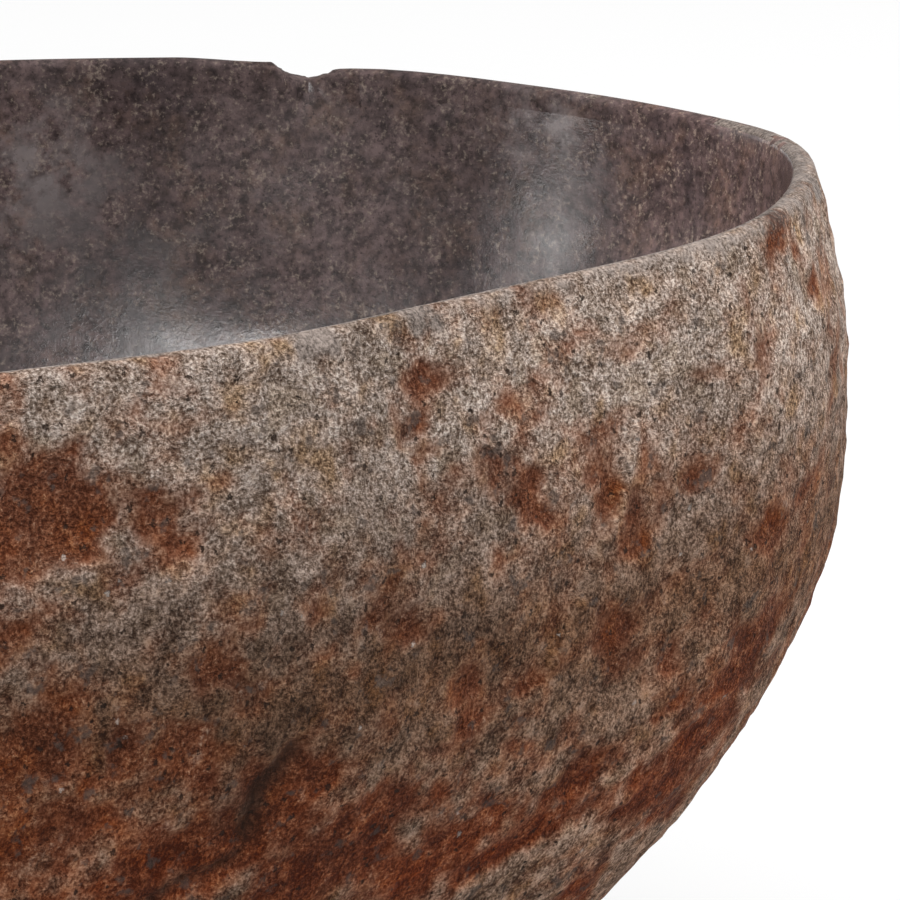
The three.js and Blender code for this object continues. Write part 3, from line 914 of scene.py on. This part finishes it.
# how much lighter the upright streaks are painted: partly the stone's browner tint near the rind, partly a
# painted reflection of the tall lamp's band
STREAK_PAINTED_LIGHTNESS = 2.6
MOTTLE_DARK, MOTTLE_PALE = 0.5, 1.6  # lightness of the finest clouds
CRYSTALS_CROWD = 0.4  # how much crystals gather in swarms
CUT_SCALE = [(0.34, "342b2c"), (0.66, "4e4140"), (0.5, "413534")]
FAR_WALL_PAINTED_PATCHES = (  # place, reach, strength and colour of patches painted on the far wall: two pale painted reflections of the lamps, and a larger dark patch painted just below the first
    ((82, 101, 139), 22, 0.75, "8a8180"),
    ((168, 48, 153), 17, 0.6, "8a8180"),
    ((90, 95, 124), 34, 0.75, "191314"),
)
CUT_BUMP_HEIGHT = 0.035 * MM


def cut_stone(name, smoothest, roughest, specular, darkening):
    """The boulder's inner stone, honed or only ground, with a roughness between two values."""
    material, tree, output = new_material(name)
    place = add(tree, "TexCoord").outputs["Object"]
    drawn = add(tree, "Mapping", {"Vector": place, "Scale": (1, 1, 1 / STREAK_LENGTH)}).outputs[0]
    made = {
        pattern: add(tree, "TexNoise", {
            "Vector": drawn if pattern == "streak" else place,
            "Scale": cells(size), "Detail": detail, "Roughness": roughness}).outputs
        for pattern, (size, detail, roughness) in CUT_PATTERNS.items()}
    clouds = add(tree, "SeparateColor", {0: made["cloud"]["Color"]}).outputs
    tints = add(tree, "SeparateColor", {0: made["tint"]["Color"]}).outputs
    speck = made["speck"]["Fac"]

    base = add(tree, "ValToRGB", {"Fac": clouds["Red"]}, stops=CUT_SCALE).outputs[0]
    base = stained(tree, base, tints["Red"], 0.5, 0.72, 0.45, "523e30")  # ochre clouds
    base = stained(tree, base, tints["Blue"], 0.52, 0.7, 0.6, "282122")  # murky ones
    mottled = add(tree, "MapRange", {
        "Value": made["mottle"]["Fac"], "From Min": 0.35, "From Max": 0.65,
        "To Min": MOTTLE_DARK, "To Max": MOTTLE_PALE}).outputs[0]
    base = add(tree, "VectorMath", {0: base, "Scale": mottled}, operation="SCALE").outputs[0]
    level = add(tree, "Math", {
        0: made["crowd"]["Fac"], 1: CRYSTALS_CROWD, 2: speck}, operation="MULTIPLY_ADD").outputs[0]
    base = stained(tree, base, level, 0.76, 0.96, 0.75, "84766b")  # cream crystals
    base = stained(tree, base, speck, 0.43, 0.33, 0.7, "1f1817")  # black ones

    # upright streaks at the right end: a browner tint and a painted reflection of the tall lamp's band
    streaked = add(tree, "ValToRGB", {"Fac": made["streak"]["Fac"]}, stops=[
        (0.36, "d2cfd0"), (0.64, "fff8f2")]).outputs[0]
    along = add(tree, "SeparateXYZ", {0: place}).outputs["X"]
    end = add(tree, "MapRange", {
        "Value": along, "From Min": STREAKS_FROM, "From Max": STREAKS_TO}).outputs[0]
    streak_tint_and_painted_reflection = add(tree, "VectorMath", {0: base, 1: streaked}, operation="MULTIPLY").outputs[0]
    streak_tint_and_painted_reflection = add(tree, "VectorMath", {
        0: streak_tint_and_painted_reflection, "Scale": STREAK_PAINTED_LIGHTNESS}, operation="SCALE").outputs[0]
    base = add(tree, "Mix", {"Factor": end, 6: base, 7: streak_tint_and_painted_reflection}, data_type="RGBA").outputs[2]

    # painted reflections and a painted dark patch on the far wall, frayed by noise
    painted_patch_fray = add(tree, "MapRange", {"Value": tints["Green"], "From Min": 0.44, "From Max": 0.64}).outputs[0]
    for centre, reach, strength, code in FAR_WALL_PAINTED_PATCHES:
        away = add(tree, "VectorMath", {
            0: place, 1: Vector(centre) * MM}, operation="DISTANCE").outputs["Value"]
        near = add(tree, "MapRange", {
            "Value": away, "From Min": reach * MM, "From Max": 0.1 * reach * MM,
            "To Max": strength}).outputs[0]
        cover = add(tree, "Math", {0: painted_patch_fray, 1: near}, operation="MULTIPLY").outputs[0]
        base = add(tree, "Mix", {"Factor": cover, 6: base, 7: colour(code)}, data_type="RGBA").outputs[2]
    base = add(tree, "VectorMath", {0: base, "Scale": 1 - darkening}, operation="SCALE").outputs[0]
    dull = add(tree, "MapRange", {
        "Value": tints["Green"], "From Min": 0.36, "From Max": 0.64,
        "To Min": smoothest, "To Max": roughest}).outputs[0]
    bump = add(tree, "Bump", {"Height": level, "Distance": CUT_BUMP_HEIGHT, "Strength": 1.0}).outputs[0]
    surface = add(tree, "BsdfPrincipled", {
        "Base Color": base, "Roughness": dull, "IOR": 1.5,
        "Specular IOR Level": specular, "Normal": bump})
    tree.links.new(surface.outputs[0], output.inputs["Surface"])
    print(name, "has", len(tree.nodes), "nodes")
    return material


mesh.materials.append(cut_stone(
    "honed_andesite", smoothest=0.17, roughest=0.3, specular=0.5, darkening=0.0))
mesh.materials.append(cut_stone(
    "ground_andesite", smoothest=0.7, roughest=0.85, specular=0.15, darkening=0.12))

# %% [markdown]
# ## Felt pads
#
# Four round pads of pressed felt keep the bowl from scratching the table. Each is a disc
# punched from a sheet, so its side is straight and its edges are barely rounded. The
# weight of the stone has pressed it slightly hollow all around its rim. Pressed felt is
# a matt mat of short grey-brown fibres, lighter where they stand up.

# %% Pads
PAD_SIDES = 64
PAD_ROUNDING, ROUNDING_STEPS = 0.35 * MM, 3
PAD_SAG = 0.25 * MM  # how far the middle of the side is drawn in
FIBRE_CELL, FIBRE_HEIGHT = 0.5, 0.15 * MM
PADS = ("felt_pad_front_right", "felt_pad_rear_right", "felt_pad_rear_left", "felt_pad_front_left")

felt, tree, output = new_material("pressed_felt")
place = add(tree, "TexCoord").outputs["Object"]
fibres = add(tree, "TexNoise", {
    "Vector": place, "Scale": cells(FIBRE_CELL), "Detail": 4,
    "Roughness": 0.7, "Distortion": 1.5}).outputs["Fac"]
wool = add(tree, "ValToRGB", {"Fac": fibres}, stops=[(0.35, "332d29"), (0.65, "6d645d")]).outputs[0]
fuzz = add(tree, "Bump", {"Height": fibres, "Distance": FIBRE_HEIGHT, "Strength": 1.0}).outputs[0]
surface = add(tree, "BsdfPrincipled", {
    "Base Color": wool, "Roughness": 0.95, "Specular IOR Level": 0.1,
    "Sheen Weight": 0.25, "Sheen Roughness": 0.5, "Normal": fuzz})
tree.links.new(surface.outputs[0], output.inputs["Surface"])

for node in PADS:
    pad_low, pad_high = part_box(node)
    middle = (Vector(pad_low) + Vector(pad_high)) / 2
    radius = (pad_high[0] - pad_low[0]) / 2
    thickness = pad_high[2] - pad_low[2]
    pad = bmesh.new()
    bmesh.ops.create_cone(
        pad, cap_ends=True, segments=PAD_SIDES, radius1=radius, radius2=radius, depth=thickness)
    sides = [edge for edge in pad.edges if abs(edge.verts[0].co.z - edge.verts[1].co.z) > thickness / 2]
    bmesh.ops.subdivide_edges(pad, edges=sides, cuts=1)
    for vert in pad.verts:
        if abs(vert.co.z) < thickness / 4:
            vert.co.xy *= 1 - PAD_SAG / radius
    rims = [edge for edge in pad.edges if any(len(face.verts) > 4 for face in edge.link_faces)]
    bmesh.ops.bevel(pad, geom=rims, offset=PAD_ROUNDING, segments=ROUNDING_STEPS, profile=0.5,
                    material=-1, affect="EDGES")
    bmesh.ops.translate(pad, verts=pad.verts, vec=middle)
    bmesh.ops.recalc_face_normals(pad, faces=pad.faces)
    for face in pad.faces:
        face.smooth = len(face.verts) == 4
    pad_mesh = bpy.data.meshes.new(node)
    pad.to_mesh(pad_mesh)
    pad.free()
    pad_mesh.materials.append(felt)
    disc = bpy.data.objects.new("pressed_" + node, pad_mesh)
    bpy.context.scene.collection.objects.link(disc)
    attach(disc, "root")
    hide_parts(node)
    print(node, "modelled with", len(pad_mesh.polygons), "faces")
